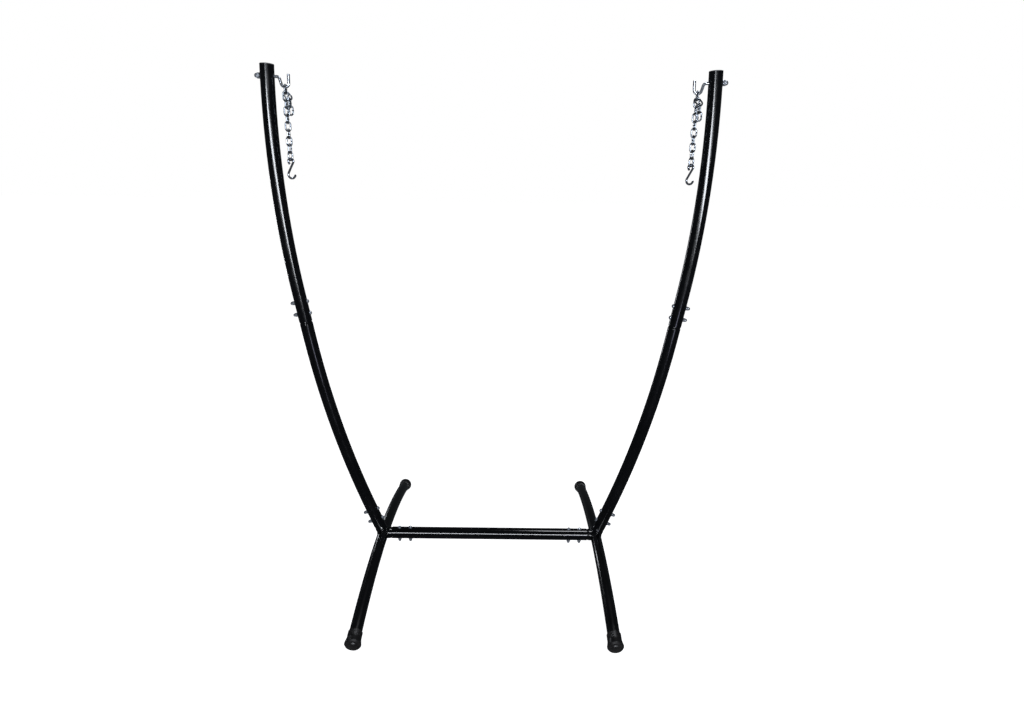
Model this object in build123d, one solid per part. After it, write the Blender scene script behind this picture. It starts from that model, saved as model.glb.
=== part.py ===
"""Steel hammock stand: two arched feet, a centre beam and two curved arms, bolted together.

Frame: +X from the left arm to the right arm, +Y to the back, +Z up, millimetres.
The origin is on the floor, midway between the feet.
"""
from build123d import *

import os
from math import asin, cos, radians, sin, sqrt, tan

# ---- tubes ----------------------------------------------------------------------------
ARM_TUBE_R = 24.0            # arms and centre beam, outside
ARM_TUBE_WALL = 2.0
FOOT_TUBE_R = 22.0           # arched foot tubes, outside
FOOT_TUBE_WALL = 2.0

# ---- layout ---------------------------------------------------------------------------
JUNCTION_X = 444.0           # beam axis to foot tube axis, each side
FOOT_ARCH_R = 2220.0         # arch of the foot tube
FOOT_HALF_SPAN = 586.0       # middle of the stand to the face of a foot cup
ARM_ANGLE = 68.6             # first run of the arm, degrees above the floor
ARM_BEND_R = 3700.0          # both arm tubes are rolled to this radius
ARM_FIRST_RUN = 120.0        # straight, junction to the first bend
LOWER_ARM_BEND = 760.0       # length of the rolled stretch of the lower arm
MID_RUN_BELOW = 60.0         # straight, first bend to the mid seam
MID_RUN_ABOVE = 100.0        # straight, mid seam to the second bend
UPPER_ARM_BEND = 798.0       # length of the rolled stretch of the upper arm

# ---- bolted sleeve joints -------------------------------------------------------------
SEAM_FROM_JUNCTION = 37.0    # where an arm or the beam starts, from the junction
SPIGOT_LENGTH = 95.0
SPIGOT_CLEARANCE = 0.3       # radial, spigot in tube
SHOULDER_START = 9.0         # the swaged shoulder starts this far before the seam
SHOULDER_END = 1.0
SHOULDER_ROUND = 4.0
TUBE_EDGE_ROUND = 1.2
BOLT_FROM_SEAM = (30.0, 75.0)
COPE_GAP = 0.25              # welded sockets, clear of the tube they sit on
DRILL_LENGTH = 100.0         # passes right through an arm tube
TRIM_BOX = 200.0             # block that cuts waste away, larger than any joint
NEAR = 0.01                  # places this close are the same place

# ---- M8 joint bolts -------------------------------------------------------------------
BOLT_R = 4.0
HOLE_CLEARANCE = 0.3         # radial, bolt or hook rod in its hole
BOLT_HEAD_R = 7.0
BOLT_HEAD_H = 5.3
BOLT_HEAD_RIM = 1.5          # straight edge below the dome
BOLT_TIP_CHAMFER = 0.8
BOLT_KEY_FLATS = 5.0
BOLT_KEY_DEPTH = 2.6
BOLT_WASHER_R = 8.0
BOLT_WASHER_T = 1.6
BOLT_NUT_FLATS = 13.0
BOLT_NUT_HEX_H = 7.0
BOLT_NUT_H = 15.0
BOLT_NUT_DEPTH = 11.0        # threaded depth in the cap nut
NUT_TIP_ROOM = 1.0           # between the bolt's tip and the end of the hole
NUT_CROWN_STEP = 0.3         # crown, inside the flats
NUT_CORNER_BEVEL = 0.8
THREAD_CLEARANCE = 0.05

# ---- M10 hook bolt --------------------------------------------------------------------
HOOK_ROD_R = 5.0
HOOK_BELOW_TOP = 37.0
HOOK_FIRST_BEND_R = 10.0
HOOK_SLOPE = 72.0            # degrees below the horizontal
HOOK_U_R = 13.0
HOOK_U_REACH = 35.0          # middle of the U, from the tube's inner side
HOOK_U_DROP = 32.0           # bottom of the U below the shank
HOOK_TIP_RISE = 10.5         # end of the hook above the shank
HOOK_NUT_FLATS = 17.0
HOOK_NUT_HEX_H = 8.5
HOOK_NUT_H = 18.0
HOOK_NUT_DEPTH = 12.5
HOOK_WASHER_R = 10.5
HOOK_WASHER_T = 2.0
ROD_END_BEVEL = 1.0          # hooks and S-hooks

# ---- arm end plugs and foot cups ------------------------------------------------------
PLUG_FLANGE = 2.0
PLUG_DOME = 2.5
PLUG_DEPTH = 18.0
PLUG_CLEARANCE = 0.2
PLUG_WALL = 2.5
PLUG_EDGE = 1.2              # dome, inside the flange's edge
PLUG_TAPER = 1.0
CUP_LENGTH = 52.0
CUP_COLLAR_R = 25.0
CUP_RIM_R = 29.0
CUP_FLOOR = 9.0
CUP_CLEARANCE = 0.25
CUP_FLARE = 26.0             # length of the flared end
CUP_RIM_BACK = 5.0           # widest ring, back from the end face
CUP_RIM_BAND = 2.0           # width of the widest ring
CUP_EDGE = 3.5               # bevel round the end face
CUP_TREAD_R = 16.0           # raised pad in the middle of the end face
CUP_TREAD_H = 2.5
CUP_GROOVES = 3              # grip grooves round the collar
CUP_GROOVE_START = 5.0       # from the open end
CUP_GROOVE_PITCH = 7.0
CUP_GROOVE_DEPTH = 0.7
CUP_GROOVE_STEP = 0.8        # length of each slope, and of the groove's floor
CUP_FLAT = 0.8               # how far the rubber is flattened against the floor

# ---- chain ----------------------------------------------------------------------------
LINK_WIRE_R = 2.75
LINK_PAIR_ROOM = 0.5         # inside the bend, beyond two wires side by side
LINK_ROD_ROOM = 1.0          # inside the bend, beyond the hook rod
LINK_STRAIGHT = 12.8         # between the two bend centres
LINK_GAP = 0.3               # running clearance where links bear on each other
MAIN_LINKS = 10
SPARE_LINKS = 3
SPARE_SPLAY = 20.0           # first spare link leans away in Y, degrees
SPARE_TILT = 38.0            # and swings towards +X
LINK_TWIST = (0, 0, 0, 0, 0, 0, 2, 6, 12, 24)
SHOOK_TWIST = 48.0

# ---- S-hook ---------------------------------------------------------------------------
SHOOK_WIRE_R = 3.75
SHOOK_EYE_R = 9.25
SHOOK_HOOK_R = 12.75
SHOOK_CENTRES = 45.5
SHOOK_HOOK_END = 335.0       # degrees, where the lower bend stops
SHOOK_FLARE_R = 10.0
SHOOK_FLARE = 30.0
SHOOK_EYE_GAP = 1.0          # eye end to shank

ARM_INNER_R = ARM_TUBE_R - ARM_TUBE_WALL
SPIGOT_R = ARM_INNER_R - SPIGOT_CLEARANCE
BOLT_HOLE_R = BOLT_R + HOLE_CLEARANCE
HOOK_HOLE_R = HOOK_ROD_R + HOLE_CLEARANCE
LINK_INNER_R = max(2 * LINK_WIRE_R + LINK_PAIR_ROOM, HOOK_ROD_R + LINK_ROD_ROOM)
LINK_R = LINK_INNER_R + LINK_WIRE_R
FOOT_END_SLOPE = asin(FOOT_HALF_SPAN / FOOT_ARCH_R)
CUP_AXIS_SLOPE = FOOT_END_SLOPE - CUP_LENGTH / 2 / FOOT_ARCH_R      # tube slope in mid cup
CUP_FACE_DROP = FOOT_ARCH_R * (1 - cos(CUP_AXIS_SLOPE)) + CUP_LENGTH / 2 * sin(CUP_AXIS_SLOPE)
CUP_FACE_Z = CUP_RIM_R * cos(CUP_AXIS_SLOPE) - CUP_RIM_BACK * sin(CUP_AXIS_SLOPE) - CUP_FLAT
JUNCTION_Z = CUP_FACE_Z + CUP_FACE_DROP

parts = {}


# ---- helpers --------------------------------------------------------------------------
def swept(path, radius):
    """A round bar along a path of lines and arcs."""
    start = Plane(origin=path @ 0, z_dir=path % 0)
    return sweep(start * Circle(radius), path=path)


def turned(outline):
    """A solid of revolution about local Z from points (radius, height)."""
    return revolve(Plane.XZ * make_face(Polyline(*outline, close=True)), axis=Axis.Z)


def dome(radius, height):
    """A cap of a ball standing on local Z = 0, no taller than its radius."""
    ball_r = (radius ** 2 + height ** 2) / (2 * height)
    half = asin(radius / ball_r) / 2
    middle = (ball_r * sin(half), height - ball_r * (1 - cos(half)))
    crown = ThreePointArc((radius, 0), middle, (0, height))
    face = make_face([crown, Line((0, height), (0, 0)), Line((0, 0), (radius, 0))])
    return revolve(Plane.XZ * face, axis=Axis.Z)


def mirrored(shape):
    return mirror(shape, about=Plane.YZ)


def frame_at(point, direction):
    """A plane at a point whose Z is the direction; its Y is the stand's Y where it can be."""
    z_dir = Vector(*direction)
    y_dir = Vector(0, 1, 0)
    return Plane(origin=point, x_dir=y_dir.cross(z_dir), z_dir=z_dir)


# ---- arm centreline -------------------------------------------------------------------
ARM_RUNS = (
    ("line", ARM_FIRST_RUN),
    ("arc", LOWER_ARM_BEND),
    ("line", MID_RUN_BELOW),
    ("line", MID_RUN_ABOVE),
    ("arc", UPPER_ARM_BEND),
)
MID_SEAM = ARM_FIRST_RUN + LOWER_ARM_BEND + MID_RUN_BELOW
ARM_LENGTH = MID_SEAM + MID_RUN_ABOVE + UPPER_ARM_BEND


def step_along(x, z, heading, kind, length):
    """The point and heading after a straight or rolled stretch, in the XZ plane."""
    if kind == "line":
        return x + length * cos(heading), z + length * sin(heading), heading
    turn = length / ARM_BEND_R
    x += ARM_BEND_R * (sin(heading + turn) - sin(heading))
    z += ARM_BEND_R * (cos(heading) - cos(heading + turn))
    return x, z, heading + turn


def arm_at(distance):
    """Point and heading of the right arm's centreline, measured from the junction."""
    x, z, heading = JUNCTION_X, JUNCTION_Z, radians(ARM_ANGLE)
    for kind, length in ARM_RUNS:
        x, z, heading = step_along(x, z, heading, kind, min(length, distance))
        distance -= min(length, distance)
    return x, z, heading


def arm_path(start, end):
    """The right arm's centreline between two distances from the junction."""
    edges = []
    run_start = 0.0
    for kind, length in ARM_RUNS:
        low = max(start, run_start)
        high = min(end, run_start + length)
        if high - low > NEAR:
            a = arm_at(low)
            b = arm_at(high)
            middle = arm_at((low + high) / 2)
            points = [(p[0], 0, p[1]) for p in (a, middle, b)]
            edges.append(Line(points[0], points[2]) if kind == "line" else ThreePointArc(*points))
        run_start += length
    return Wire(edges)


def arm_frame(distance):
    """Local frame on the right arm: Z along the tube, X towards the stand's outside."""
    x, z, heading = arm_at(distance)
    return Plane(origin=(x, 0, z), x_dir=(sin(heading), 0, -cos(heading)),
                 z_dir=(cos(heading), 0, sin(heading)))


# ---- sleeve joints --------------------------------------------------------------------
def spigot(full_length):
    """A tube end swaged down to slide into the next tube; local Z = 0 is the seam."""
    bore = ARM_INNER_R
    reduced_bore = SPIGOT_R - ARM_TUBE_WALL
    outline = Polyline(
        (ARM_TUBE_R, -full_length), (ARM_TUBE_R, -SHOULDER_START), (SPIGOT_R, -SHOULDER_END),
        (SPIGOT_R, SPIGOT_LENGTH), (reduced_bore, SPIGOT_LENGTH), (reduced_bore, -SHOULDER_END),
        (bore, -SHOULDER_START), (bore, -full_length), close=True)
    face = make_face(outline)
    shoulder = [v for v in face.vertices() if -SHOULDER_START - NEAR < v.Y < 0]
    face = fillet(shoulder, SHOULDER_ROUND)
    return revolve(Plane.XZ * face, axis=Axis.Z)


def joint_holes(seam_frame):
    """Both bolt holes of a joint, drilled along the frame's local X."""
    holes = []
    for height in BOLT_FROM_SEAM:
        drill = Cylinder(BOLT_HOLE_R, DRILL_LENGTH, rotation=(0, 90, 0))
        holes.append(seam_frame * Pos(0, 0, height) * drill)
    return holes


def round_tube_end(tube, point):
    """Break the outer edge of the tube end nearest to a point."""
    rims = [e for e in tube.edges().filter_by(GeomType.CIRCLE) if abs(e.radius - ARM_TUBE_R) < NEAR]
    rim = min(rims, key=lambda e: (e.arc_center - Vector(*point)).length)
    return fillet(rim, TUBE_EDGE_ROUND)


# ---- feet -----------------------------------------------------------------------------
# arch angle where the tube stops, just short of the cup's closed end
FOOT_TUBE_REACH = CUP_AXIS_SLOPE + (CUP_LENGTH / 2 - CUP_FLOOR - CUP_CLEARANCE) / FOOT_ARCH_R


def foot_point(angle):
    """Point of the foot tube's centreline, at an arch angle from its top."""
    return (JUNCTION_X, FOOT_ARCH_R * sin(angle), JUNCTION_Z - FOOT_ARCH_R * (1 - cos(angle)))


def foot_tube():
    ends = (foot_point(-FOOT_TUBE_REACH), foot_point(FOOT_TUBE_REACH))
    path = Wire([ThreePointArc(ends[0], foot_point(0), ends[1])])
    return swept(path, FOOT_TUBE_R) - swept(path, FOOT_TUBE_R - FOOT_TUBE_WALL)


def foot_cup():
    """Moulded rubber cup; local Z = 0 is its end face, and Z points back up the tube."""
    bore = FOOT_TUBE_R + CUP_CLEARANCE
    groove_r = CUP_COLLAR_R - CUP_GROOVE_DEPTH
    outer = [(CUP_COLLAR_R, CUP_LENGTH)]
    for groove in range(CUP_GROOVES):
        z = CUP_LENGTH - CUP_GROOVE_START - CUP_GROOVE_PITCH * groove
        outer += [(CUP_COLLAR_R, z), (groove_r, z - CUP_GROOVE_STEP),
                  (groove_r, z - 2 * CUP_GROOVE_STEP), (CUP_COLLAR_R, z - 3 * CUP_GROOVE_STEP)]
    outer += [(CUP_COLLAR_R, CUP_FLARE), (CUP_RIM_R, CUP_RIM_BACK + CUP_RIM_BAND),
              (CUP_RIM_R, CUP_RIM_BACK), (CUP_RIM_R - CUP_EDGE, 0), (CUP_TREAD_R, 0),
              (CUP_TREAD_R - CUP_TREAD_H, -CUP_TREAD_H), (0, -CUP_TREAD_H)]
    inner = [(0, CUP_FLOOR), (bore, CUP_FLOOR), (bore, CUP_LENGTH)]
    return turned(outer + inner)


def seat_cup(cup, side):
    """Put a cup on the front (side -1) or back (side 1) end of the right foot tube."""
    away = Vector(0, side * cos(CUP_AXIS_SLOPE), -sin(CUP_AXIS_SLOPE))
    face = Vector(*foot_point(side * CUP_AXIS_SLOPE)) + away * (CUP_LENGTH / 2)
    seated = Plane(origin=face, x_dir=(1, 0, 0), z_dir=-away) * cup
    below_floor = Pos(JUNCTION_X, side * FOOT_HALF_SPAN, -TRIM_BOX / 2)
    return seated - below_floor * Box(TRIM_BOX, TRIM_BOX, TRIM_BOX)


def socket(direction, mate_direction):
    """A stub and spigot welded to the foot tube, mitred against its neighbour."""
    seam = Vector(JUNCTION_X, 0, JUNCTION_Z) + Vector(*direction) * SEAM_FROM_JUNCTION
    stub = frame_at(seam, direction) * spigot(SEAM_FROM_JUNCTION)
    cope = Pos(JUNCTION_X, 0, JUNCTION_Z) * Cylinder(
        FOOT_TUBE_R + COPE_GAP, TRIM_BOX, rotation=(90, 0, 0))
    apart = (Vector(*mate_direction) - Vector(*direction)).normalized()
    mitre = Plane(origin=Vector(JUNCTION_X, 0, JUNCTION_Z) + apart * -COPE_GAP, z_dir=apart)
    waste = mitre * Pos(0, 0, TRIM_BOX / 2) * Box(TRIM_BOX, TRIM_BOX, TRIM_BOX)
    return (stub - cope) - waste


ARM_START_FRAME = arm_frame(SEAM_FROM_JUNCTION)
ARM_DIRECTION = (cos(radians(ARM_ANGLE)), 0, sin(radians(ARM_ANGLE)))
BEAM_DIRECTION = (-1, 0, 0)
BEAM_SEAM_FRAME = Plane(origin=(JUNCTION_X - SEAM_FROM_JUNCTION, 0, JUNCTION_Z),
                        x_dir=(0, 0, -1), z_dir=BEAM_DIRECTION)

right_foot = foot_tube()
arm_socket = socket(ARM_DIRECTION, BEAM_DIRECTION)
for hole in joint_holes(ARM_START_FRAME):
    arm_socket = arm_socket - hole
beam_socket = socket(BEAM_DIRECTION, ARM_DIRECTION)
for hole in joint_holes(BEAM_SEAM_FRAME):
    beam_socket = beam_socket - hole
for name, shape in (("foot_tube", right_foot), ("arm_socket", arm_socket),
                    ("beam_socket", beam_socket)):
    parts[name + "_right"] = shape
    parts[name + "_left"] = mirrored(shape)
for place, side in (("front", -1), ("rear", 1)):
    cup = seat_cup(foot_cup(), side)
    parts[f"foot_cup_{place}_right"] = cup
    parts[f"foot_cup_{place}_left"] = mirrored(cup)


# ---- centre beam and arms -------------------------------------------------------------
beam_half = JUNCTION_X - SEAM_FROM_JUNCTION
beam = Pos(0, 0, JUNCTION_Z) * Cylinder(ARM_TUBE_R, 2 * beam_half, rotation=(0, 90, 0))
beam = fillet(beam.edges().filter_by(GeomType.CIRCLE), TUBE_EDGE_ROUND)
beam = beam - Pos(0, 0, JUNCTION_Z) * Cylinder(ARM_INNER_R, 2 * beam_half, rotation=(0, 90, 0))
for hole in joint_holes(BEAM_SEAM_FRAME):
    beam = beam - hole - mirrored(hole)
parts["centre_beam"] = beam


def arm_tube(start, end):
    path = arm_path(start, end)
    tube = swept(path, ARM_TUBE_R)
    x, z, _ = arm_at(start)
    tube = round_tube_end(tube, (x, 0, z))
    return tube - swept(path, ARM_INNER_R)


MID_FRAME = arm_frame(MID_SEAM)
swage_length = MID_RUN_BELOW / 2
lower_arm = arm_tube(SEAM_FROM_JUNCTION, MID_SEAM - swage_length)
lower_arm = lower_arm + MID_FRAME * spigot(swage_length)
for hole in joint_holes(ARM_START_FRAME) + joint_holes(MID_FRAME):
    lower_arm = lower_arm - hole

HOOK_FRAME = arm_frame(ARM_LENGTH - HOOK_BELOW_TOP)
upper_arm = arm_tube(MID_SEAM, ARM_LENGTH)
upper_arm = upper_arm - HOOK_FRAME * Cylinder(HOOK_HOLE_R, DRILL_LENGTH, rotation=(0, 90, 0))
for hole in joint_holes(MID_FRAME):
    upper_arm = upper_arm - hole

skirt_r = ARM_INNER_R - PLUG_CLEARANCE
plug = turned([
    (0, 0), (skirt_r - PLUG_WALL, 0), (skirt_r - PLUG_WALL, -PLUG_DEPTH),
    (skirt_r - PLUG_TAPER, -PLUG_DEPTH), (skirt_r, PLUG_TAPER - PLUG_DEPTH), (skirt_r, 0),
    (ARM_TUBE_R, 0), (ARM_TUBE_R, PLUG_FLANGE / 2), (ARM_TUBE_R - PLUG_EDGE, PLUG_FLANGE),
    (0, PLUG_FLANGE)])
plug = plug + Pos(0, 0, PLUG_FLANGE) * dome(ARM_TUBE_R - PLUG_EDGE, PLUG_DOME)
arm_cap = arm_frame(ARM_LENGTH) * plug
for name, shape in (("lower_arm", lower_arm), ("upper_arm", upper_arm), ("arm_end_cap", arm_cap)):
    parts[name + "_right"] = shape
    parts[name + "_left"] = mirrored(shape)


# ---- fasteners ------------------------------------------------------------------------
def hexagon(flats, height):
    """A hexagonal bar standing on local Z = 0."""
    return extrude(RegularPolygon(flats / 2, 6, major_radius=False), height)


def cap_nut(flats, hex_height, height, bore_r, depth):
    """A domed cap nut standing on local Z = 0, with its blind hole below."""
    crown_r = flats / 2 - NUT_CROWN_STEP
    corner_r = flats / sqrt(3)
    bevelled = turned([
        (0, 0), (corner_r - NUT_CORNER_BEVEL, 0), (corner_r, NUT_CORNER_BEVEL),
        (corner_r, hex_height - NUT_CORNER_BEVEL), (corner_r - NUT_CORNER_BEVEL, hex_height),
        (0, hex_height)])
    crown_foot = height - crown_r
    crown = Pos(0, 0, crown_foot / 2) * Cylinder(crown_r, crown_foot)
    crown = crown + Pos(0, 0, crown_foot) * dome(crown_r, crown_r)
    return (hexagon(flats, hex_height) & bevelled) + crown - Pos(0, 0, depth / 2) * Cylinder(bore_r, depth)


def washer(outer_r, inner_r, thickness):
    return Pos(0, 0, thickness / 2) * (Cylinder(outer_r, thickness) - Cylinder(inner_r, thickness))


def joint_bolt():
    """Domed socket-head bolt; local Z = 0 is the tube's axis and the head is at -Z."""
    under_head = -ARM_TUBE_R - BOLT_WASHER_T
    tip = ARM_TUBE_R + BOLT_WASHER_T + BOLT_NUT_DEPTH - NUT_TIP_ROOM
    head = Pos(0, 0, BOLT_HEAD_RIM / 2) * Cylinder(BOLT_HEAD_R, BOLT_HEAD_RIM)
    head = head + Pos(0, 0, BOLT_HEAD_RIM) * dome(BOLT_HEAD_R, BOLT_HEAD_H - BOLT_HEAD_RIM)
    head = head - Pos(0, 0, BOLT_HEAD_H - BOLT_KEY_DEPTH) * hexagon(BOLT_KEY_FLATS, BOLT_KEY_DEPTH)
    shank = turned([(0, under_head), (BOLT_R, under_head), (BOLT_R, tip - BOLT_TIP_CHAMFER),
                    (BOLT_R - BOLT_TIP_CHAMFER, tip), (0, tip)])
    return Pos(0, 0, under_head) * Rot(180, 0, 0) * head + shank


BOLT = joint_bolt()
BOLT_NUT = Pos(0, 0, ARM_TUBE_R + BOLT_WASHER_T) * cap_nut(
    BOLT_NUT_FLATS, BOLT_NUT_HEX_H, BOLT_NUT_H, BOLT_R + THREAD_CLEARANCE, BOLT_NUT_DEPTH)
WASHER = washer(BOLT_WASHER_R, BOLT_HOLE_R, BOLT_WASHER_T)
WASHERS = (Pos(0, 0, ARM_TUBE_R) * WASHER, Pos(0, 0, -ARM_TUBE_R) * Rot(180, 0, 0) * WASHER)


def bolt_frames(seam_frame):
    """Local frames of a joint's two bolts: Z from head to nut, along the seam frame's X."""
    frames = []
    for height in BOLT_FROM_SEAM:
        at = seam_frame * Pos(0, 0, height)
        frames.append(Plane(origin=at.position, x_dir=seam_frame.z_dir, z_dir=seam_frame.x_dir))
    return frames


for joint_name, seam_frame in (("beam_joint", BEAM_SEAM_FRAME), ("arm_base", ARM_START_FRAME),
                               ("mid_arm", MID_FRAME)):
    bolts, nuts, washers = [], [], []
    for frame in bolt_frames(seam_frame):
        bolts.append(frame * BOLT)
        nuts.append(frame * BOLT_NUT)
        washers += [frame * w for w in WASHERS]
    for kind, shapes in (("bolts", bolts), ("cap_nuts", nuts), ("washers", washers)):
        parts[f"{joint_name}_{kind}"] = Compound(shapes + [mirrored(s) for s in shapes])


# ---- hook bolts -----------------------------------------------------------------------
def hook_rod():
    """Bent hook bolt for the right arm; local X is out of the stand, local Z up the arm."""
    thread_end = ARM_TUBE_R + HOOK_WASHER_T + HOOK_NUT_DEPTH - NUT_TIP_ROOM
    slope = radians(HOOK_SLOPE)
    u_x, u_z = HOOK_U_REACH, HOOK_U_R - HOOK_U_DROP
    foot_x, foot_z = u_x - HOOK_U_R * sin(slope), u_z - HOOK_U_R * cos(slope)
    corner_x = foot_x + foot_z / tan(slope)
    lead = HOOK_FIRST_BEND_R * tan(slope / 2)
    half = slope / 2
    bend_start = (corner_x - lead, 0)
    bend_mid = (corner_x - lead + HOOK_FIRST_BEND_R * sin(half), -HOOK_FIRST_BEND_R * (1 - cos(half)))
    bend_end = (corner_x + lead * cos(slope), -lead * sin(slope))
    u_mid = (u_x, u_z - HOOK_U_R)
    u_end = (u_x + HOOK_U_R, u_z)
    tip = (u_x + HOOK_U_R, HOOK_TIP_RISE)

    def place(point):
        return (-ARM_TUBE_R - point[0], 0, point[1])

    path = Wire([
        Line((thread_end, 0, 0), place(bend_start)),
        ThreePointArc(place(bend_start), place(bend_mid), place(bend_end)),
        Line(place(bend_end), place((foot_x, foot_z))),
        ThreePointArc(place((foot_x, foot_z)), place(u_mid), place(u_end)),
        Line(place(u_end), place(tip)),
    ])
    rod = swept(path, HOOK_ROD_R)
    ends = [e for e in rod.edges().filter_by(GeomType.CIRCLE)
            if min((e.arc_center - Vector(*p)).length for p in (place(tip), (thread_end, 0, 0))) < NEAR]
    return chamfer(ends, ROD_END_BEVEL)


right_hook = HOOK_FRAME * hook_rod()
parts["hanger_hook_right"] = right_hook
parts["hanger_hook_left"] = mirrored(right_hook)
nut_frame = Plane(origin=HOOK_FRAME.origin, x_dir=HOOK_FRAME.z_dir, z_dir=HOOK_FRAME.x_dir)
u_centre = (HOOK_FRAME * Pos(-ARM_TUBE_R - HOOK_U_REACH, 0, HOOK_U_R - HOOK_U_DROP)).position
hook_nut = nut_frame * Pos(0, 0, ARM_TUBE_R + HOOK_WASHER_T) * cap_nut(
    HOOK_NUT_FLATS, HOOK_NUT_HEX_H, HOOK_NUT_H, HOOK_ROD_R + THREAD_CLEARANCE, HOOK_NUT_DEPTH)
hook_washer = nut_frame * Pos(0, 0, ARM_TUBE_R) * washer(HOOK_WASHER_R, HOOK_HOLE_R, HOOK_WASHER_T)
parts["hanger_cap_nuts"] = Compound([hook_nut, mirrored(hook_nut)])
parts["hanger_washers"] = Compound([hook_washer, mirrored(hook_washer)])


# ---- chains and S-hooks ---------------------------------------------------------------
def chain_link():
    """A link in its local XZ plane, with its upper bend centre at the origin."""
    r, d = LINK_R, LINK_STRAIGHT
    path = Wire([
        ThreePointArc((-r, 0, 0), (0, 0, r), (r, 0, 0)),
        Line((r, 0, 0), (r, 0, -d)),
        ThreePointArc((r, 0, -d), (0, 0, -d - r), (-r, 0, -d)),
        Line((-r, 0, -d), (-r, 0, 0)),
    ])
    return swept(path, LINK_WIRE_R)


def s_hook():
    """An S-hook in its local XZ plane, with the centre of its closed eye at the origin."""
    lean = asin((SHOOK_EYE_R + SHOOK_HOOK_R) / SHOOK_CENTRES)

    def ring(radius, angle, below=0.0):
        return (radius * cos(angle), 0, radius * sin(angle) - below)

    closing = SHOOK_EYE_R * (1 + cos(2 * lean))
    run = (closing - 2 * SHOOK_WIRE_R - SHOOK_EYE_GAP) / sin(2 * lean)
    eye_side = ring(SHOOK_EYE_R, radians(180) + lean)
    eye_end = (eye_side[0] + run * sin(lean), 0, eye_side[2] - run * cos(lean))
    shank_top = ring(SHOOK_EYE_R, -lean)
    shank_foot = ring(SHOOK_HOOK_R, radians(180) - lean, SHOOK_CENTRES)
    hook_end = radians(SHOOK_HOOK_END)
    hook_mid = ring(SHOOK_HOOK_R, (radians(180) - lean + hook_end) / 2, SHOOK_CENTRES)
    hook_stop = ring(SHOOK_HOOK_R, hook_end, SHOOK_CENTRES)
    flare_x = hook_stop[0] + SHOOK_FLARE_R * cos(hook_end)
    flare_z = hook_stop[2] + SHOOK_FLARE_R * sin(hook_end)
    flare = [(flare_x - SHOOK_FLARE_R * cos(hook_end - a), 0, flare_z - SHOOK_FLARE_R * sin(hook_end - a))
             for a in (radians(SHOOK_FLARE) / 2, radians(SHOOK_FLARE))]
    path = Wire([
        Line(eye_end, eye_side),
        ThreePointArc(eye_side, ring(SHOOK_EYE_R, radians(90)), shank_top),
        Line(shank_top, shank_foot),
        ThreePointArc(shank_foot, hook_mid, hook_stop),
        ThreePointArc(hook_stop, *flare),
    ])
    bar = swept(path, SHOOK_WIRE_R)
    ends = [e for e in bar.edges().filter_by(GeomType.CIRCLE)
            if min((e.arc_center - Vector(*p)).length for p in (eye_end, flare[1])) < NEAR]
    return chamfer(ends, ROD_END_BEVEL)


LINK = chain_link()
S_HOOK = s_hook()
WIRE_PITCH = 2 * LINK_WIRE_R + LINK_GAP         # between wires that bear on each other
PAIR_OFFSET = LINK_WIRE_R + LINK_GAP / 2        # two links side by side in the hung link


def hang_side(name, side, spare_side, twist_side):
    """One chain: side is 1 on the right arm, spare_side the Y side of the spare strand."""
    hook_x = side * u_centre.X
    hook_z = u_centre.Z - HOOK_U_R
    top = Vector(hook_x, 0, hook_z - (LINK_INNER_R - HOOK_ROD_R - LINK_GAP))
    parts[f"chain_link_{name}_01"] = Pos(*top) * Rot(0, 0, 90) * LINK

    # the two strands sit side by side in the bend of the hung link
    seat = LINK_INNER_R - LINK_WIRE_R - LINK_GAP
    pair_drop = sqrt(seat ** 2 - PAIR_OFFSET ** 2)
    pair_z = top.Z - LINK_STRAIGHT - pair_drop
    place = Vector(hook_x, -spare_side * PAIR_OFFSET, pair_z - LINK_R)
    for number in range(2, MAIN_LINKS + 1):
        yaw = 90 * (number % 2) + twist_side * LINK_TWIST[number - 1]
        parts[f"chain_link_{name}_{number:02d}"] = Pos(*place) * Rot(0, 0, yaw) * LINK
        place = place - Vector(0, 0, LINK_STRAIGHT + 2 * LINK_R - WIRE_PITCH)
    wire_gap = LINK_WIRE_R + SHOOK_WIRE_R + LINK_GAP
    place = place + Vector(0, 0, LINK_R - WIRE_PITCH + wire_gap - SHOOK_EYE_R)
    shook_yaw = 90 + twist_side * SHOOK_TWIST
    if cos(radians(shook_yaw)) < 0:
        shook_yaw -= 180
    parts[f"s_hook_{name}"] = Pos(*place) * Rot(0, 0, shook_yaw) * S_HOOK

    # spare strand: its first link leans aside, and the rest hang straight
    splay = radians(SPARE_SPLAY)
    tilt = radians(SPARE_TILT)
    lean = Vector(0, spare_side * sin(splay), -cos(splay))
    first = Vector(hook_x, spare_side * PAIR_OFFSET, pair_z) + lean * LINK_R
    turn = Rot(spare_side * SPARE_SPLAY, 0, 0) * Rot(0, -SPARE_TILT, 0)
    parts[f"spare_link_{name}_01"] = Pos(*first) * turn * LINK
    down = Vector(sin(tilt), spare_side * cos(tilt) * sin(splay), -cos(tilt) * cos(splay))
    place = first + down * LINK_STRAIGHT + lean * LINK_R + Vector(0, 0, WIRE_PITCH - LINK_R)
    for number in range(2, SPARE_LINKS + 1):
        parts[f"spare_link_{name}_{number:02d}"] = Pos(*place) * Rot(0, 0, 90 * ((number + 1) % 2)) * LINK
        place = place - Vector(0, 0, LINK_STRAIGHT + 2 * LINK_R - WIRE_PITCH)


hang_side("left", -1, 1, -1)
hang_side("right", 1, -1, 1)

# ---- write one STEP file for each node ------------------------------------------------
os.makedirs("parts", exist_ok=True)
for name, shape in parts.items():
    export_step(shape, f"parts/{name}.step")
print(len(parts), "nodes written")
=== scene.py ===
"""Steel hammock stand, put together in the order in which it is built: feet, sockets and their
welds, cups, beam, arms, joint bolts, end plugs, hanger hooks, chains, S-hooks, then the studio.

Metres, +X from the left arm to the right arm, +Y to the back, +Z up.
"""
import math

import bpy
from mathutils import Matrix, Vector


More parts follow.
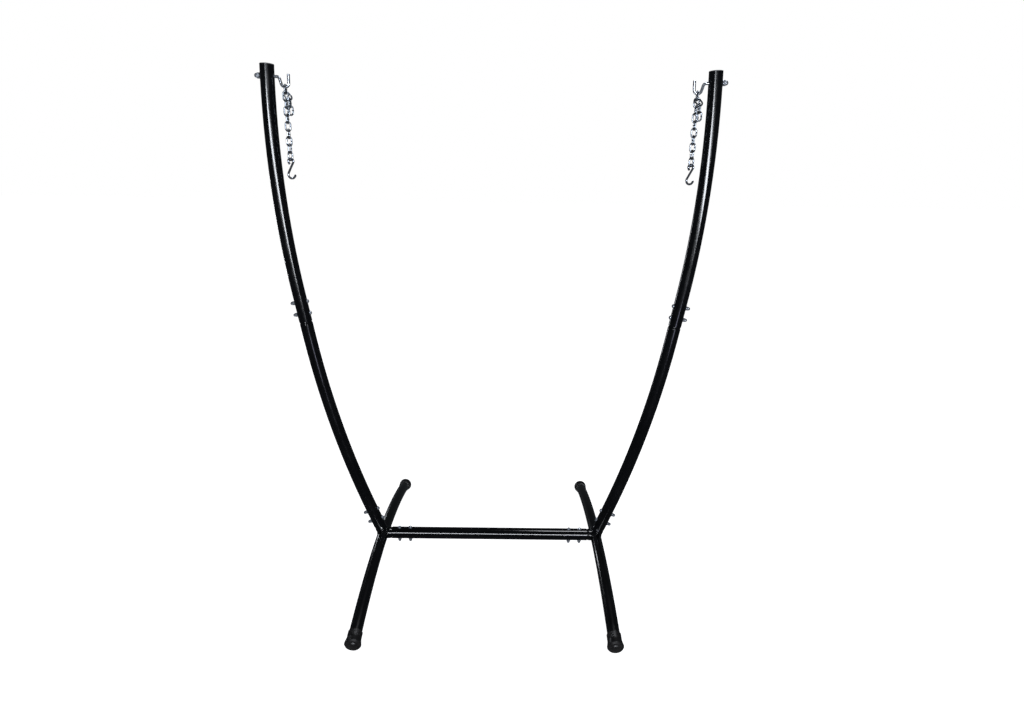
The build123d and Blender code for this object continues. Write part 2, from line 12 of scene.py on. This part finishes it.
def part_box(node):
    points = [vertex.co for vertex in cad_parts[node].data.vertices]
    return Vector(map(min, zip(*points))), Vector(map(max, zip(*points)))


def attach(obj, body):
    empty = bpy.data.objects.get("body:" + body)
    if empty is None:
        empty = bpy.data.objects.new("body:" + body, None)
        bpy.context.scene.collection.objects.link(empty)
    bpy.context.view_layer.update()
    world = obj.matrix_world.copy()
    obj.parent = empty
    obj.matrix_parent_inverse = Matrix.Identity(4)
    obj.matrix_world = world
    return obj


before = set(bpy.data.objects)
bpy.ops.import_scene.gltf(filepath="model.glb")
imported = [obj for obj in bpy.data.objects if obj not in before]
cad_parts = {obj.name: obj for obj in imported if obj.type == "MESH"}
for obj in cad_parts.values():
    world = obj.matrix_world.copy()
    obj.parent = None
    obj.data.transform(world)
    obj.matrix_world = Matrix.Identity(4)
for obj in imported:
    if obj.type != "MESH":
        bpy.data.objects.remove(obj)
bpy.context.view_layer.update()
bpy.ops.object.select_all(action="DESELECT")


# ---- foot tubes -------------------------------------------------------------------------
# Two 44 mm steel tubes rolled to a low arch, one under each arm. They are powder-coated
# gloss black in one piece with the sockets welded to them.

def add_node(tree, kind, settings=None, **links):
    """A shader node; settings are its plain values, links what feeds its sockets by name."""
    node = tree.nodes.new(kind)
    for name, value in (settings or {}).items():
        if name in node.inputs:
            node.inputs[name].default_value = value
        else:
            setattr(node, name, value)
    for name, source in links.items():
        tree.links.new(source, node.inputs[name.replace("_", " ")])
    return node


def set_input(tree, socket, value):
    """A socket linked to another one, or set to a plain value."""
    if isinstance(value, bpy.types.NodeSocket):
        tree.links.new(value, socket)
    else:
        socket.default_value = value


def mix_colours(tree, mask, below, above):
    """One colour where the mask is 0, the other where it is 1."""
    node = tree.nodes.new("ShaderNodeMix")
    node.data_type = "RGBA"
    factor, first_colour, second_colour, mixed_colour = 0, 6, 7, 2
    set_input(tree, node.inputs[factor], mask)
    set_input(tree, node.inputs[first_colour], below)
    set_input(tree, node.inputs[second_colour], above)
    return node.outputs[mixed_colour]


def span(tree, value, low, high, new_low=0.0, new_high=1.0):
    """A value brought from one range to another, and held inside it."""
    limits = {"From Min": low, "From Max": high, "To Min": new_low, "To Max": new_high}
    return add_node(tree, "ShaderNodeMapRange", limits, Value=value).outputs["Result"]


def sum_of(tree, operation, first, second):
    """Two values or sockets put through one sum."""
    node = tree.nodes.new("ShaderNodeMath")
    node.operation = operation
    set_input(tree, node.inputs[0], first)
    set_input(tree, node.inputs[1], second)
    return node.outputs[0]


def effect_group(name, inputs, outputs):
    """An empty node group with named number sockets; returns its tree, inputs and outputs."""
    tree = bpy.data.node_groups.new(name, "ShaderNodeTree")
    number = "NodeSocketFloat"
    for socket, value in inputs.items():
        made = tree.interface.new_socket(name=socket, in_out="INPUT", socket_type=number)
        made.default_value = value
    for socket in outputs:
        tree.interface.new_socket(name=socket, in_out="OUTPUT", socket_type=number)
    group_in = tree.nodes.new("NodeGroupInput")
    group_out = tree.nodes.new("NodeGroupOutput")
    return tree, group_in.outputs, group_out.inputs


def use_effect(tree, group, **values):
    """A group placed in a material with its own values."""
    node = tree.nodes.new("ShaderNodeGroup")
    node.node_tree = group
    for name, value in values.items():
        node.inputs[name.replace("_", " ")].default_value = value
    return node.outputs


def new_finish(name, **shader_values):
    """A material with one principled shader, its plain values set on its own sockets."""
    material = bpy.data.materials.new(name)
    material.use_nodes = True
    shader = material.node_tree.nodes["Principled BSDF"]
    for socket, value in shader_values.items():
        shader.inputs[socket.replace("_", " ")].default_value = value
    return material, material.node_tree, shader


def add_relief(tree, shader, height, strength, depth):
    """Fine unevenness from a height that varies over the surface."""
    bump = add_node(tree, "ShaderNodeBump", {"Strength": strength, "Distance": depth},
                    Height=height)
    tree.links.new(bump.outputs["Normal"], shader.inputs["Normal"])


def finish_nodes(material, *names):
    """Put a finish on whole CAD pieces."""
    for name in names:
        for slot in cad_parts[name].material_slots:
            slot.material = material


# worn edges: where the surface turns a corner tighter than the reach, broken up by patches
unworn_cosine = 0.995
bare_cosine = 0.90
edge_wear, given, out = effect_group(
    "edge_wear", {"Reach": 0.001, "Patch Size": 200.0, "Amount": 1.0}, ["Mask"])
surface = add_node(edge_wear, "ShaderNodeNewGeometry")
rounded = add_node(edge_wear, "ShaderNodeBevel", {"samples": 6}, Radius=given["Reach"])
facing = add_node(edge_wear, "ShaderNodeVectorMath", {"operation": "DOT_PRODUCT"})
edge_wear.links.new(surface.outputs["Normal"], facing.inputs[0])
edge_wear.links.new(rounded.outputs["Normal"], facing.inputs[1])
corner = span(edge_wear, facing.outputs["Value"], unworn_cosine, bare_cosine)
spot = add_node(edge_wear, "ShaderNodeTexCoord").outputs["Object"]
patches = add_node(edge_wear, "ShaderNodeTexNoise", {"Detail": 4.0, "Roughness": 0.65},
                   Vector=spot, Scale=given["Patch Size"])
patchy = span(edge_wear, patches.outputs["Fac"], 0.42, 0.62)
worn = sum_of(edge_wear, "MULTIPLY", corner, patchy)
worn = sum_of(edge_wear, "MULTIPLY", worn, given["Amount"])
edge_wear.links.new(worn, out["Mask"])

# the skin of a sprayed or moulded surface: fine dimples, slow drifts of tone, and dust specks
specks_to_dimples = 2.3
skin, given, out = effect_group(
    "skin", {"Dimple Scale": 700.0, "Drift Scale": 9.0}, ["Dimples", "Drift", "Specks"])
spot = add_node(skin, "ShaderNodeTexCoord").outputs["Object"]
dimples = add_node(skin, "ShaderNodeTexNoise", {"Detail": 2.0, "Roughness": 0.45},
                   Vector=spot, Scale=given["Dimple Scale"])
drift = add_node(skin, "ShaderNodeTexNoise", {"Detail": 5.0, "Roughness": 0.6},
                 Vector=spot, Scale=given["Drift Scale"])
speck_scale = sum_of(skin, "MULTIPLY", given["Dimple Scale"], specks_to_dimples)
specks = add_node(skin, "ShaderNodeTexVoronoi", {"Randomness": 1.0},
                  Vector=spot, Scale=speck_scale)
skin.links.new(dimples.outputs["Fac"], out["Dimples"])
skin.links.new(span(skin, drift.outputs["Fac"], 0.3, 0.7), out["Drift"])
skin.links.new(span(skin, specks.outputs["Distance"], 0.16, 0.05), out["Specks"])


coat_black = (0.0006, 0.0007, 0.0010, 1)
coat_black_cloud = (0.0017, 0.0018, 0.0024, 1)
dust_grey = (0.040, 0.041, 0.044, 1)
rubbed_grey = (0.022, 0.023, 0.026, 1)
dust_amount = 0.05
gloss_drift = 0.07
rubbed_roughness = 0.25


def powder_coat(name, dimple_scale, dimple_depth, roughness, worn_amount):
    """Gloss black powder coat: orange peel, cloudy gloss, fine dust and a little edge wear."""
    material, tree, shader = new_finish(
        name, Specular_IOR_Level=0.4, Coat_Weight=0.3, Coat_Roughness=0.06, IOR=1.5)
    peel = use_effect(tree, skin, Dimple_Scale=dimple_scale, Drift_Scale=11.0)
    wear = use_effect(tree, edge_wear, Reach=0.0011, Patch_Size=240.0, Amount=worn_amount)
    black = mix_colours(tree, peel["Drift"], coat_black, coat_black_cloud)
    dust = sum_of(tree, "MULTIPLY", peel["Specks"], dust_amount)
    dusty = mix_colours(tree, dust, black, dust_grey)
    colour = mix_colours(tree, wear["Mask"], dusty, rubbed_grey)
    tree.links.new(colour, shader.inputs["Base Color"])
    rough = span(tree, peel["Drift"], 0.0, 1.0,
                 new_low=roughness, new_high=roughness + gloss_drift)
    rubbed = sum_of(tree, "MULTIPLY", wear["Mask"], rubbed_roughness)
    tree.links.new(sum_of(tree, "ADD", rough, rubbed), shader.inputs["Roughness"])
    add_relief(tree, shader, peel["Dimples"], strength=0.3, depth=dimple_depth)
    return material


foot_coat = powder_coat("foot_tube_powder_coat", dimple_scale=380.0, dimple_depth=0.00004,
                        roughness=0.20, worn_amount=0.6)
finish_nodes(foot_coat, "foot_tube_left", "foot_tube_right")


# ---- sockets and their welds ------------------------------------------------------------
# Short 48 mm stubs, swaged down at the outer end, that carry an arm and the beam. Each is
# coped to the foot tube and welded all round before coating, which leaves a rippled bead.
socket_coat = powder_coat("socket_powder_coat", dimple_scale=380.0, dimple_depth=0.00006,
                          roughness=0.12, worn_amount=0.8)
finish_nodes(socket_coat, "arm_socket_left", "arm_socket_right",
             "beam_socket_left", "beam_socket_right")

weld_coat = powder_coat("weld_powder_coat", dimple_scale=900.0, dimple_depth=0.00015,
                        roughness=0.11, worn_amount=0.9)
foot_tube_r = 0.022
socket_r = 0.024
bead_r = 0.0026
bead_ripple = 0.00035
bead_rings = 116
bead_sides = 12
arm_rise = math.radians(68.6)
foot_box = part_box("foot_tube_right")
foot_top = foot_box[1][2] - foot_tube_r
junction_x = (foot_box[0][0] + foot_box[1][0]) / 2


def lay_bead(name, centre, along, towards_mate):
    """A weld bead round the end of a socket, laid down on the foot tube or the other socket."""
    across = Vector((0, 1, 0))
    turn = Matrix((towards_mate, across, along)).transposed()
    bpy.ops.mesh.primitive_circle_add(vertices=bead_rings, radius=socket_r, location=centre,
                                      rotation=turn.to_euler())
    bead = bpy.context.object
    bead.name = name
    bpy.ops.object.transform_apply(location=True, rotation=True, scale=True)
    mitre = 1 / math.tan((math.pi - arm_rise) / 2)
    for index in range(bead_rings):
        aside = (bead.data.vertices[index].co - centre).dot(towards_mate)
        on_tube = math.sqrt(max(foot_tube_r ** 2 - aside ** 2, 0.0))
        bpy.ops.object.mode_set(mode="EDIT")
        bpy.ops.mesh.select_mode(type="VERT")
        bpy.ops.mesh.select_all(action="DESELECT")
        bpy.ops.object.mode_set(mode="OBJECT")
        bead.data.vertices[index].select = True
        bpy.ops.object.mode_set(mode="EDIT")
        bpy.ops.transform.translate(value=along * max(on_tube, aside * mitre))
        bpy.ops.object.mode_set(mode="OBJECT")
    bpy.ops.object.convert(target="CURVE")
    bead.data.bevel_depth = bead_r
    bead.data.bevel_resolution = (bead_sides - 4) // 2  # n gives 2n + 4 sides
    bpy.ops.object.convert(target="MESH")
    sides = len(bead.data.vertices) // bead_rings
    bpy.ops.object.mode_set(mode="EDIT")
    bpy.ops.mesh.select_mode(type="VERT")
    bpy.ops.mesh.select_all(action="DESELECT")
    bpy.ops.object.mode_set(mode="OBJECT")
    for vertex in bead.data.vertices:
        every_other_ring = (vertex.index // sides) % 2 == 0
        vertex.select = every_other_ring
    bpy.ops.object.mode_set(mode="EDIT")
    bpy.ops.transform.shrink_fatten(value=bead_ripple)
    bpy.ops.mesh.select_all(action="SELECT")
    bpy.ops.mesh.normals_make_consistent(inside=False)
    bpy.ops.object.mode_set(mode="OBJECT")
    bpy.ops.object.shade_smooth()
    bead.data.materials.clear()
    bead.data.materials.append(weld_coat)
    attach(bead, "stand")
    bpy.ops.object.select_all(action="DESELECT")


for side, hand in (("left", -1), ("right", 1)):
    junction = Vector((hand * abs(junction_x), 0, foot_top))
    up_the_arm = Vector((hand * math.cos(arm_rise), 0, math.sin(arm_rise)))
    beam_side = Vector((-hand * math.sin(arm_rise), 0, math.cos(arm_rise)))
    lay_bead(f"arm_weld_{side}", junction, up_the_arm, beam_side)
    lay_bead(f"beam_weld_{side}", junction, Vector((-hand, 0, 0)), Vector((0, 0, 1)))


# ---- foot cups --------------------------------------------------------------------------
# Moulded black rubber cups pushed over the four ends of the feet, with grip grooves round
# the collar and a flared end that is scuffed grey where it stands on the ground.
scuff_height = 0.016
scuff_amount = 0.55
scuffed_roughness = 0.3
cup_black = (0.0045, 0.0043, 0.0044, 1)
cup_black_cloud = (0.0095, 0.0090, 0.0092, 1)
ground_scuff = (0.036, 0.034, 0.032, 1)
edge_scuff = (0.030, 0.029, 0.029, 1)
cup_rubber, tree, shader = new_finish("cup_rubber", Specular_IOR_Level=0.35, IOR=1.52)
mould = use_effect(tree, skin, Dimple_Scale=1500.0, Drift_Scale=40.0)
scuff = use_effect(tree, edge_wear, Reach=0.0016, Patch_Size=320.0, Amount=0.9)
spot = add_node(tree, "ShaderNodeTexCoord").outputs["Object"]
height = add_node(tree, "ShaderNodeSeparateXYZ", Vector=spot).outputs["Z"]
near_ground = span(tree, height, scuff_height, 0.0, new_high=scuff_amount)
near_ground = sum_of(tree, "MULTIPLY", near_ground, mould["Drift"])
rubber = mix_colours(tree, mould["Drift"], cup_black, cup_black_cloud)
rubber = mix_colours(tree, near_ground, rubber, ground_scuff)
rubber = mix_colours(tree, scuff["Mask"], rubber, edge_scuff)
tree.links.new(rubber, shader.inputs["Base Color"])
rough = span(tree, mould["Drift"], 0.0, 1.0, new_low=0.30, new_high=0.44)
scuffed = sum_of(tree, "MULTIPLY", near_ground, scuffed_roughness)
tree.links.new(sum_of(tree, "ADD", rough, scuffed), shader.inputs["Roughness"])
add_relief(tree, shader, mould["Dimples"], strength=0.4, depth=0.0001)
finish_nodes(cup_rubber, "foot_cup_front_left", "foot_cup_front_right",
             "foot_cup_rear_left", "foot_cup_rear_right")


# ---- centre beam ------------------------------------------------------------------------
# A straight 48 mm steel tube that slides over the two inward sockets and ties the feet
# together. Its coat has flowed out smoother and glossier than the one on the feet.
beam_coat = powder_coat("beam_powder_coat", dimple_scale=380.0, dimple_depth=0.000005,
                        roughness=0.09, worn_amount=0.7)
finish_nodes(beam_coat, "centre_beam")


# ---- arms -------------------------------------------------------------------------------
# Each arm is two rolled 48 mm steel tubes, coated like the beam. The lower one is swaged at
# its top, the upper one slides over it, and the seam between them is a narrow groove.
arm_coat = powder_coat("arm_powder_coat", dimple_scale=380.0, dimple_depth=0.000007,
                       roughness=0.13, worn_amount=0.7)
finish_nodes(arm_coat, "lower_arm_left", "lower_arm_right", "upper_arm_left", "upper_arm_right")


# ---- joint bolts, washers and cap nuts --------------------------------------------------
# Twelve M8 domed socket-head bolts with plain washers and closed cap nuts, bright zinc
# plated. The plating is cloudy and slightly blue, and brighter where corners have rubbed.

# zinc plate: cloudy patches, a fine grain and a few scratches
zinc_plate, given, out = effect_group(
    "zinc_plate", {"Cloud Scale": 90.0, "Grain Scale": 1600.0}, ["Clouds", "Grain", "Scratches"])
spot = add_node(zinc_plate, "ShaderNodeTexCoord").outputs["Object"]
clouds = add_node(zinc_plate, "ShaderNodeTexNoise",
                  {"Detail": 6.0, "Roughness": 0.62, "Distortion": 0.4},
                  Vector=spot, Scale=given["Cloud Scale"])
grain = add_node(zinc_plate, "ShaderNodeTexNoise", {"Detail": 3.0, "Roughness": 0.7},
                 Vector=spot, Scale=given["Grain Scale"])
stretched = add_node(zinc_plate, "ShaderNodeMapping",
                     {"Rotation": (0.6, 0.35, 0.2), "Scale": (1.0, 14.0, 1.0)}, Vector=spot)
streaks = add_node(zinc_plate, "ShaderNodeTexNoise", {"Detail": 4.0, "Roughness": 0.6},
                   Vector=stretched.outputs["Vector"], Scale=given["Cloud Scale"])
zinc_plate.links.new(span(zinc_plate, clouds.outputs["Fac"], 0.32, 0.68), out["Clouds"])
zinc_plate.links.new(grain.outputs["Fac"], out["Grain"])
zinc_plate.links.new(span(zinc_plate, streaks.outputs["Fac"], 0.60, 0.68), out["Scratches"])

scratch_grey = (0.26, 0.28, 0.32, 1)
rubbed_zinc = (0.80, 0.82, 0.85, 1)
scratch_amount = 0.35
scratch_roughness = 0.12


def zinc_finish(name, bare, dull, bright, cloud_scale, smooth, rough_end, grain_depth):
    """Zinc plated steel between a dull and a bright tone; bare is how metallic it still looks."""
    material, tree, shader = new_finish(name, Metallic=bare)
    plate = use_effect(tree, zinc_plate, Cloud_Scale=cloud_scale, Grain_Scale=1500.0)
    rubbed = use_effect(tree, edge_wear, Reach=0.0007, Patch_Size=500.0, Amount=0.8)
    colour = mix_colours(tree, plate["Clouds"], dull, bright)
    scratched = sum_of(tree, "MULTIPLY", plate["Scratches"], scratch_amount)
    colour = mix_colours(tree, scratched, colour, scratch_grey)
    colour = mix_colours(tree, rubbed["Mask"], colour, rubbed_zinc)
    tree.links.new(colour, shader.inputs["Base Color"])
    rough = span(tree, plate["Clouds"], 0.0, 1.0, new_low=rough_end, new_high=smooth)
    scratched = sum_of(tree, "MULTIPLY", plate["Scratches"], scratch_roughness)
    tree.links.new(sum_of(tree, "ADD", rough, scratched), shader.inputs["Roughness"])
    add_relief(tree, shader, plate["Grain"], strength=0.4, depth=grain_depth)
    return material


bolt_zinc = zinc_finish(
    "bolt_zinc", bare=0.86, dull=(0.38, 0.41, 0.46, 1), bright=(0.60, 0.64, 0.70, 1),
    cloud_scale=120.0, smooth=0.16, rough_end=0.28, grain_depth=0.00006)
nut_zinc = zinc_finish(
    "cap_nut_zinc", bare=0.86, dull=(0.42, 0.45, 0.50, 1), bright=(0.66, 0.70, 0.76, 1),
    cloud_scale=150.0, smooth=0.12, rough_end=0.24, grain_depth=0.00005)
washer_zinc = zinc_finish(
    "washer_zinc", bare=0.86, dull=(0.34, 0.37, 0.42, 1), bright=(0.54, 0.58, 0.64, 1),
    cloud_scale=200.0, smooth=0.20, rough_end=0.34, grain_depth=0.00007)
for joint in ("beam_joint", "arm_base", "mid_arm"):
    finish_nodes(bolt_zinc, f"{joint}_bolts")
    finish_nodes(nut_zinc, f"{joint}_cap_nuts")
    finish_nodes(washer_zinc, f"{joint}_washers")


# ---- arm end plugs ----------------------------------------------------------------------
# Low domed plugs of black plastic pressed into the open tops of the arms, with the fine
# even texture of the mould and a satin sheen.
plug_black = (0.040, 0.040, 0.042, 1)
plug_black_cloud = (0.060, 0.060, 0.063, 1)
plug_rubbed = (0.14, 0.14, 0.145, 1)
plug_plastic, tree, shader = new_finish("plug_plastic", Specular_IOR_Level=0.5, IOR=1.49)
mould = use_effect(tree, skin, Dimple_Scale=2200.0, Drift_Scale=60.0)
rubbed = use_effect(tree, edge_wear, Reach=0.0012, Patch_Size=300.0, Amount=0.7)
plastic = mix_colours(tree, mould["Drift"], plug_black, plug_black_cloud)
plastic = mix_colours(tree, rubbed["Mask"], plastic, plug_rubbed)
tree.links.new(plastic, shader.inputs["Base Color"])
rough = span(tree, mould["Drift"], 0.0, 1.0, new_low=0.36, new_high=0.48)
tree.links.new(rough, shader.inputs["Roughness"])
add_relief(tree, shader, mould["Dimples"], strength=0.45, depth=0.00015)
finish_nodes(plug_plastic, "arm_end_cap_left", "arm_end_cap_right")


# ---- hanger hooks -----------------------------------------------------------------------
# A 10 mm bar bent to a J goes through the top of each arm and is held on the outside by a
# washer and a closed cap nut. It has the bright zinc of the bolts, smoother along the bar.
hook_zinc = zinc_finish(
    "hook_zinc", bare=0.88, dull=(0.40, 0.43, 0.48, 1), bright=(0.62, 0.66, 0.72, 1),
    cloud_scale=70.0, smooth=0.10, rough_end=0.20, grain_depth=0.00005)
finish_nodes(hook_zinc, "hanger_hook_left", "hanger_hook_right")
finish_nodes(nut_zinc, "hanger_cap_nuts")
finish_nodes(washer_zinc, "hanger_washers")


# ---- chains -----------------------------------------------------------------------------
# Welded links of 5.5 mm wire, ten in each hanging chain and three in its spare end. Each
# link is closed by a weld half way down one side, which stands a little proud of the wire.
chain_zinc = zinc_finish(
    "chain_zinc", bare=0.95, dull=(0.17, 0.19, 0.22, 1), bright=(0.33, 0.36, 0.40, 1),
    cloud_scale=160.0, smooth=0.12, rough_end=0.24, grain_depth=0.00006)
link_weld_zinc = zinc_finish(
    "link_weld_zinc", bare=0.95, dull=(0.15, 0.17, 0.20, 1), bright=(0.28, 0.31, 0.35, 1),
    cloud_scale=420.0, smooth=0.18, rough_end=0.32, grain_depth=0.00012)
link_half_width = 0.00875
swell_sides = 20
swell_r = 0.00304
swell_length = 0.0056
swell_round = 0.0024
swell_oval = 1.06

# how each link is turned: alternate links cross, and the lower ones twist a little further
quarter_turn = 90
link_twist = (0, 0, 0, 0, 0, 0, 2, 6, 12, 24)
spare_splay = 20.0
spare_tilt = 38.0
link_turns = {}
for side, hand in (("left", -1), ("right", 1)):
    for number, twist in enumerate(link_twist, start=1):
        turn = math.radians(quarter_turn * (number % 2) + hand * twist)
        link_turns[f"chain_link_{side}_{number:02d}"] = Matrix.Rotation(turn, 4, "Z")
    splay = Matrix.Rotation(math.radians(-hand * spare_splay), 4, "X")
    tilt = Matrix.Rotation(math.radians(-spare_tilt), 4, "Y")
    link_turns[f"spare_link_{side}_01"] = splay @ tilt
    link_turns[f"spare_link_{side}_02"] = Matrix.Rotation(math.radians(quarter_turn), 4, "Z")
    link_turns[f"spare_link_{side}_03"] = Matrix.Identity(4)

# the swelling is turned from a short bar: its ends are rounded down into the wire
bpy.ops.mesh.primitive_cylinder_add(vertices=swell_sides, radius=swell_r, depth=swell_length)
swelling = bpy.context.object
bpy.ops.object.mode_set(mode="EDIT")
bpy.ops.mesh.select_all(action="DESELECT")
bpy.ops.object.mode_set(mode="OBJECT")
for edge in swelling.data.edges:
    ends = [swelling.data.vertices[i].co.z for i in edge.vertices]
    edge.select = ends[0] == ends[1]
bpy.ops.object.mode_set(mode="EDIT")
bpy.ops.mesh.bevel(offset=swell_round, segments=6, profile=0.5)
bpy.ops.mesh.select_all(action="SELECT")
bpy.ops.transform.resize(value=(1.0, swell_oval, 1.0))
bpy.ops.mesh.normals_make_consistent(inside=False)
bpy.ops.object.mode_set(mode="OBJECT")
bpy.ops.object.shade_smooth()
swelling.data.materials.append(link_weld_zinc)

on_the_side = Matrix.Translation((link_half_width, 0, 0))
for link, turn in link_turns.items():
    finish_nodes(chain_zinc, link)
    low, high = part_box(link)
    centre = (Vector(low) + Vector(high)) / 2
    weld = swelling.copy()
    weld.data = swelling.data.copy()
    weld.name = link.replace("link", "link_weld")
    bpy.context.collection.objects.link(weld)
    weld.data.transform(Matrix.Translation(centre) @ turn @ on_the_side)
    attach(weld, link)
bpy.data.objects.remove(swelling)


# ---- S-hooks ----------------------------------------------------------------------------
# The lowest link of each chain carries an S-hook bent from 7.5 mm wire. Its eye is closed
# round the link and its open bend takes the hammock's ring.
s_hook_zinc = zinc_finish(
    "s_hook_zinc", bare=0.93, dull=(0.24, 0.26, 0.30, 1), bright=(0.42, 0.45, 0.50, 1),
    cloud_scale=80.0, smooth=0.10, rough_end=0.20, grain_depth=0.00006)
finish_nodes(s_hook_zinc, "s_hook_left", "s_hook_right")


# ---- floor ------------------------------------------------------------------------------
# A plain white studio floor, 60 m square, so that its end is out of sight. It is lit from
# within to be as white as the surroundings, and the tubes do not mirror it.
floor_size = 60
floor_white, tree, shader = new_finish(
    "floor_white", Roughness=0.9, Specular_IOR_Level=0.1, Base_Color=(0.6, 0.6, 0.6, 1),
    Emission_Color=(1, 1, 1, 1), Emission_Strength=0.99)
bpy.ops.mesh.primitive_plane_add(size=floor_size, location=(0, 0, 0))
floor = bpy.context.object
floor.name = "studio_floor"
floor.data.materials.append(floor_white)
floor.visible_glossy = False


# ---- light ------------------------------------------------------------------------------
# White surroundings that shine only dimly on the stand, and four softboxes. The wide leaning
# one in front draws a line down the arms and along the beam, the one overhead a second line
# on the beam, the low one a violet tint at its right end, and the back one lines from behind.
studio = bpy.data.worlds.new("studio")
bpy.context.scene.world = studio
studio.use_nodes = True
tree = studio.node_tree
tree.nodes.clear()
backdrop = add_node(tree, "ShaderNodeBackground", {"Color": (1, 1, 1, 1), "Strength": 1.0})
fill = add_node(tree, "ShaderNodeBackground", {"Color": (0.82, 0.90, 1.0, 1), "Strength": 0.045})
path = add_node(tree, "ShaderNodeLightPath")
either = tree.nodes.new("ShaderNodeMixShader")
tree.links.new(path.outputs["Is Camera Ray"], either.inputs["Fac"])
tree.links.new(fill.outputs["Background"], either.inputs[1])
tree.links.new(backdrop.outputs["Background"], either.inputs[2])
sky = tree.nodes.new("ShaderNodeOutputWorld")
tree.links.new(either.outputs["Shader"], sky.inputs["Surface"])


def softbox(name, place, aim, width, height, watts, colour, lean=0.0):
    """A rectangular softbox at a place, turned to face a point and leaning to one side."""
    lamp = bpy.data.lights.new(name, "AREA")
    lamp.shape = "RECTANGLE"
    lamp.size = width
    lamp.size_y = height
    lamp.energy = watts
    lamp.color = colour
    box = bpy.data.objects.new(name, lamp)
    box.location = place
    facing = (Vector(aim) - Vector(place)).to_track_quat("-Z", "Y").to_matrix()
    box.rotation_euler = (facing @ Matrix.Rotation(math.radians(lean), 3, "Z")).to_euler()
    bpy.context.collection.objects.link(box)


cool_white = (0.90, 0.94, 1.0)
soft_white = (0.93, 0.95, 1.0)
pale_violet = (0.72, 0.74, 1.0)
softbox("front_softbox", place=(0.20, -5.0, 1.67), aim=(-0.05, 0.0, 1.5), width=4.2,
        height=0.52, watts=215, colour=cool_white, lean=-14.0)
softbox("top_softbox", place=(1.0, 0.2, 4.2), aim=(0.4, 0.0, 0.6), width=0.9, height=1.4,
        watts=45, colour=soft_white)
softbox("back_softbox", place=(-2.75, 3.8, 0.95), aim=(0.0, 0.0, 1.1), width=0.35,
        height=1.1, watts=12, colour=cool_white)
softbox("low_softbox", place=(0.85, -3.0, 0.45), aim=(0.4, 0.0, 0.12), width=0.6, height=0.3,
        watts=2.6, colour=pale_violet)


# ---- camera -----------------------------------------------------------------------------
# A wide-angle camera at eye height in front of the stand, a little to its right. It looks
# slightly down, and leans a little to one side.
eye = (0.0649, -2.4108, 1.5702)
turned = -0.0077
looking_down = 0.2910
leaning = 0.0152
lens = bpy.data.cameras.new("camera")
lens.sensor_width = 36.0
lens.lens = 22.85
camera = bpy.data.objects.new("camera", lens)
bpy.context.collection.objects.link(camera)
aim = (Matrix.Rotation(turned, 4, "Z") @ Matrix.Rotation(math.pi / 2 - looking_down, 4, "X")
       @ Matrix.Rotation(leaning, 4, "Z"))
camera.matrix_world = Matrix.Translation(eye) @ aim
bpy.context.scene.camera = camera
bpy.context.scene.view_settings.view_transform = "Standard"
